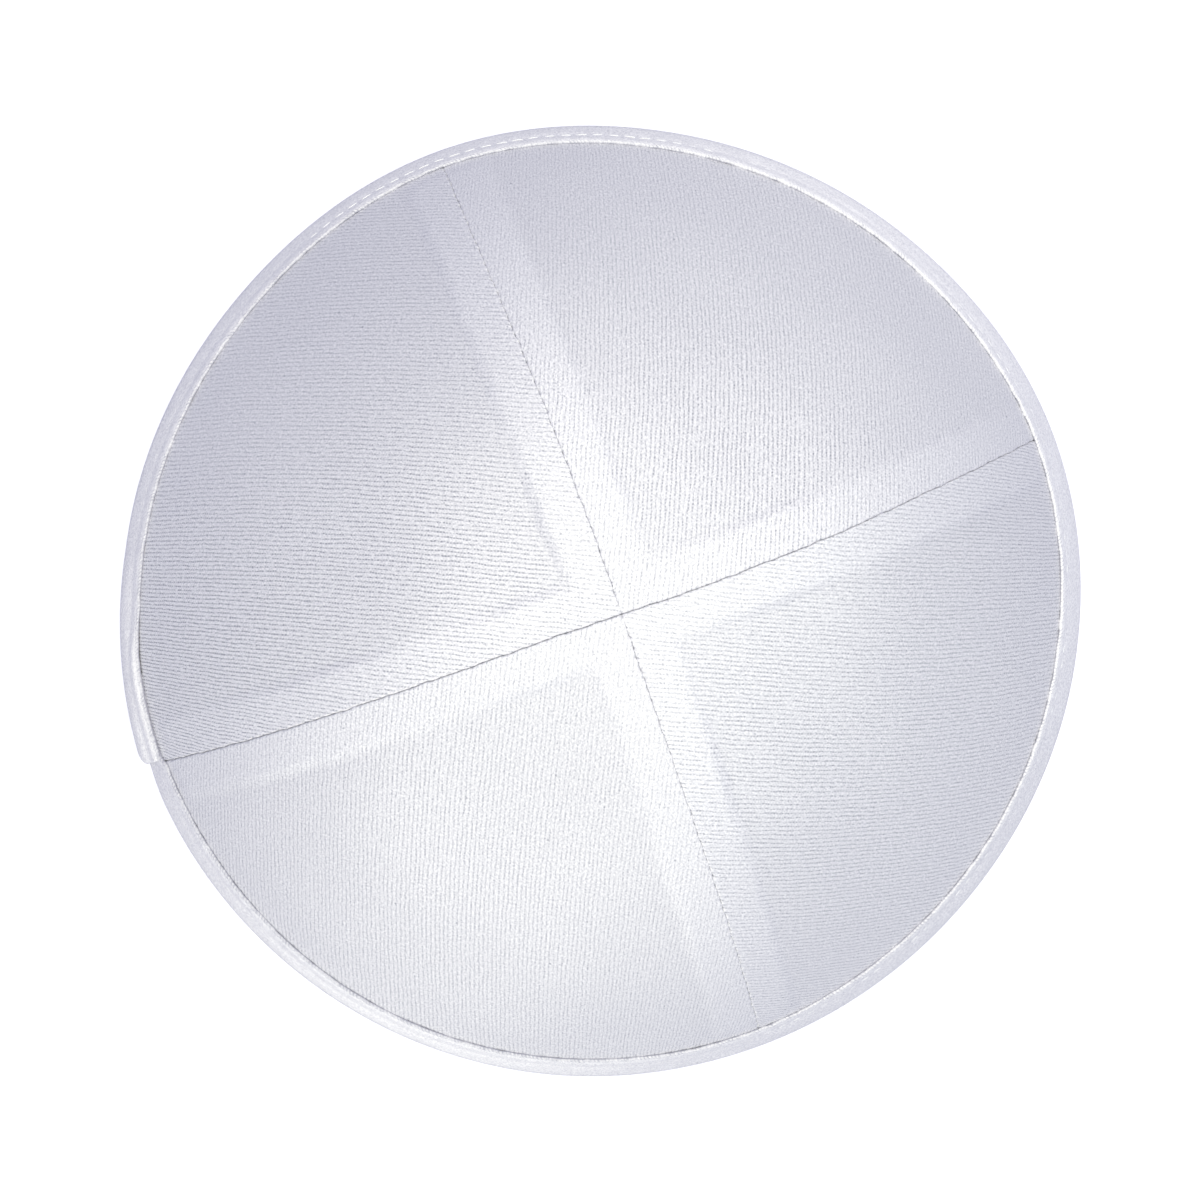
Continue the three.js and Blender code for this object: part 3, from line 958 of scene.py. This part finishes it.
# %% One stitch
def stitch_shape(length, radius, sink, sides=7, rings=9):
    """A tube along X, arched so that its ends dip."""
    around = np.linspace(0, 2 * np.pi, sides, endpoint=False)
    points, strands = [], []
    for place in np.linspace(-1, 1, rings):
        thick = radius * (1 - 0.35 * place**6)
        x, z = place * length / 2, -sink * place**4
        for angle in around:
            points.append((x, thick * math.cos(angle), z + thick * math.sin(angle)))
            strands.append(angle / math.pi + place * length / radius / 5)
    index = np.arange(rings * sides).reshape(rings, sides)
    beside = np.roll(index, -1, axis=1)
    quads = np.stack([index[1:], beside[1:], beside[:-1], index[:-1]], axis=-1).reshape(-1, 4)
    caps = [index[:1], index[-1:, ::-1]]
    return mesh_object("stitch", np.array(points), [quads, *caps], {"strand": np.array(strands)})


def line_of_stitches():
    others = {"Stitch": "Object", "Seed": "Int", "Material": "Material"}
    t, given = geometry_tree("line_of_stitches", ("Side", "Below", "Offset", "Across", "Loose"), others)
    path = t.node("GeometryNodeMeshToCurve", inputs={"Mesh": given["Geometry"]})
    base, outward, upward = (t.named(name, "FLOAT_VECTOR") for name in ("base", "outward", "upward"))
    inward = given["Side"].smooth(1.0, -1.0)
    swell = t.named("swell_top") * (1 - inward) + t.named("swell_inside") * inward
    up = t.named("tall") - given["Below"]
    lying = base + outward * given["Side"] * (given["Offset"] + swell) + upward * up
    moved = t.node("GeometryNodeSetPosition", inputs={"Geometry": path, "Position": lying * MM})
    tangent = t.node("GeometryNodeInputTangent")
    square = t.node("ShaderNodeVectorMath", {"operation": "CROSS_PRODUCT"}, {0: tangent, 1: outward})
    limits = {"Min": given["Loose"] * -1, "Max": given["Loose"], "Seed": given["Seed"]}
    loose = t.node("FunctionNodeRandomValue", {"data_type": "FLOAT"}, limits, output="Value")
    facing = tangent * (1 - given["Across"]) + square * (given["Across"] + loose)
    axes = {"primary_axis": "Z", "secondary_axis": "X"}
    upright = outward * given["Side"]
    turned = t.node("FunctionNodeAxesToRotation", axes, {"Primary Axis": upright, "Secondary Axis": facing})
    length = t.join(1 - loose.maths("ABSOLUTE"), 1.0, 1.0)
    stitch = t.node("GeometryNodeObjectInfo", inputs={"Object": given["Stitch"]}, output="Geometry")
    placing = {"Points": moved, "Instance": stitch, "Rotation": turned, "Scale": length}
    laid = t.node("GeometryNodeInstanceOnPoints", inputs=placing)
    close_tree(t, laid, given["Material"])
    return t


# %% [markdown]
# One line of topstitching holds the tape, and shows outside and inside. At the back it lies on the satin.
# Elsewhere the satin closes over it, so those stitches are sunk.

# %% Topstitching through the tape
STITCHES_CLEAR = 103.0  # the turn where they stand out
STITCH_SUNK = 0.16
top_stitch = stitch_shape(length=2.5, radius=0.13, sink=0.26)
stitch_turns = LAP_TO + 0.9 + (np.arange(TOP_STITCHES) + 0.5) * STITCH_TURN
stitch_turns = stitch_turns[stitch_turns < last_turn - 0.6]
stitch_edge, stitch_facts = rim_rail(stitch_turns)
stand_out = smoothstep(np.cos(np.radians(stitch_turns - STITCHES_CLEAR)), 0.87, 0.95)
stitch_facts["swell_top"] = stitch_facts["swell_top"] + 0.03 - STITCH_SUNK * (1 - stand_out)
stitch_rail = line_object("stitch_rail", stitch_edge * MM, stitch_facts)
stitching = line_of_stitches()
stitch_values = {"Stitch": top_stitch, "Below": STITCH_BELOW, "Offset": TAPE_SKIN - TAPE_PRESS + 0.02,
                 "Across": 0.0, "Loose": 0.07, "Seed": 4, "Material": thread}
topstitches = run_tree(stitching, stitch_rail, "topstitches_outside", {**stitch_values, "Side": 1.0})
topstitches_inside = run_tree(stitching, stitch_rail, "topstitches_inside", {**stitch_values, "Side": -1.0})

# %% [markdown]
# The two closed seams show a speck of thread at each pinch, laid across the seam.

# %% Stitches glimpsed in the closed seams
def seam_rail(seam):
    """Points at every stitch of a seam, from near the apex to the tape."""
    along = np.arange(4.5, ARC[seam, -1] - LEG - 1, SEAM_STITCH)
    share = np.interp(along, ARC[seam], SHARES)
    turn = np.full_like(share, SEAM_TURNS[seam])
    out = crown_normal(share, turn)
    shift = sum(seam_wander(seam, along))[:, None] * sideways(SEAM_TURNS[seam])
    base = crown(share, turn) + shift
    facts = {"base": base, "outward": out, "upward": out}
    facts.update(dict.fromkeys(("tall", "swell_top", "swell_inside"), np.zeros_like(share)))
    return line_object(f"seam_rail_{seam}", base * MM, facts)


seam_stitch = stitch_shape(length=0.5, radius=0.08, sink=0.1, sides=6, rings=5)
seam_values = {"Stitch": seam_stitch, "Side": 1.0, "Below": 0.0, "Offset": CLOTH_HALF + BAND_RISE - 0.16,
               "Across": 1.0, "Loose": 0.3, "Seed": 9, "Material": thread}
closed_seams = {1: "seam_stitches_back", 3: "seam_stitches_front"}
seam_stitches = [run_tree(stitching, seam_rail(k), name, seam_values) for k, name in closed_seams.items()]

# %% [markdown]
# The rails, the section and the two single stitches have done their work. They are no part of the cap, so
# they go.

# %% Put away what only helped
helpers = ["rail", "section", "stitch_rail", "seam_rail_1", "seam_rail_3", top_stitch.name, seam_stitch.name]
for name in helpers:
    bpy.data.objects.remove(bpy.data.objects[name])
print("put away:", ", ".join(helpers))

# %% [markdown]
# The cap stands in soft light from all round. The brightness of the cloth in each direction says
# where they stand: one overhead, the strongest low in front, and weaker ones at the back right, the back left
# and the right, a little warm against an even bluish sky. Suns with a wide angle give soft light all over.

# %% Lamps
LAMP_SPREAD = 30  # degrees
LAMPS = {  # turn, lift, strength and colour
    "overhead": (250, 88, 0.89, (1.0, 1.0, 0.7)),
    "front": (250, 15, 1.07, (1.0, 1.0, 0.8)),
    "back_right": (60, 45, 0.8, (1.0, 0.97, 0.82)),
    "back_left": (150, 70, 0.47, (1.0, 0.96, 0.85)),
    "right": (340, 50, 0.48, (0.93, 1.0, 0.86)),
}
SKY_COLOUR = (0.76, 0.78, 1.0, 1)
SKY_STRENGTH = 0.62
for name, (turn, lift, strength, colour) in LAMPS.items():
    sun = bpy.data.lights.new(name, "SUN")
    sun.energy = strength
    sun.angle = math.radians(LAMP_SPREAD)
    sun.color = colour
    aim = Vector(direction(turn, lift)).to_track_quat("Z", "Y")
    add_object(name, sun).rotation_euler = aim.to_euler()

world = bpy.data.worlds.new("studio")
world.use_nodes = True
sky = world.node_tree.nodes["Background"].inputs
sky["Color"].default_value = SKY_COLOUR
sky["Strength"].default_value = SKY_STRENGTH
bpy.context.scene.world = world
bpy.context.scene.view_settings.view_transform = "Standard"
print("lamps:", ", ".join(LAMPS))

# %% [markdown]
# Behind the cap the photograph is pure white, and none of that shines up on the cloth. So the pale table
# glows a little, which keeps the shadow pale, and casts no light on the cap.

# %% Table
TABLE_SIZE = 40000.0
TABLE_CLEAR = 0.02  # under the cap
TABLE_GLOW = 0.22


def pale_table():
    material, t = new_material("pale_table")
    place = t.node("ShaderNodeTexCoord", output="Object")
    grain = t.noise(place, scale=900.0, detail=2.0)
    base = t.mix(grain, (0.88, 0.88, 0.94, 1), (0.91, 0.91, 0.97, 1))
    finish_surface(t, base, 0.7, grain * 0.01, Emission_Color=(1, 1, 1, 1), Emission_Strength=TABLE_GLOW)
    half = TABLE_SIZE / 2
    corners = np.array([(-half, -half), (half, -half), (half, half), (-half, half)])
    corners = np.column_stack([corners, np.full(4, -TABLE_CLEAR)])
    return mesh_object("table", corners, [np.array([[0, 1, 2, 3]])], {}, material)


table = pale_table()
table.visible_diffuse = False
table.visible_glossy = False
print("table:", round(TABLE_SIZE * MM), "m across")

# %% [markdown]
# Every piece rides on the one body, and the cloth pieces stand for the imported solids, which are then not
# shown.

for piece, side in zip(panels, PANELS):
    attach(piece, "root")
    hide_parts(f"crown_panel_{side}")
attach(tape, "root")
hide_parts("rim_binding")
for piece in (topstitches, topstitches_inside, *seam_stitches):
    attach(piece, "root")
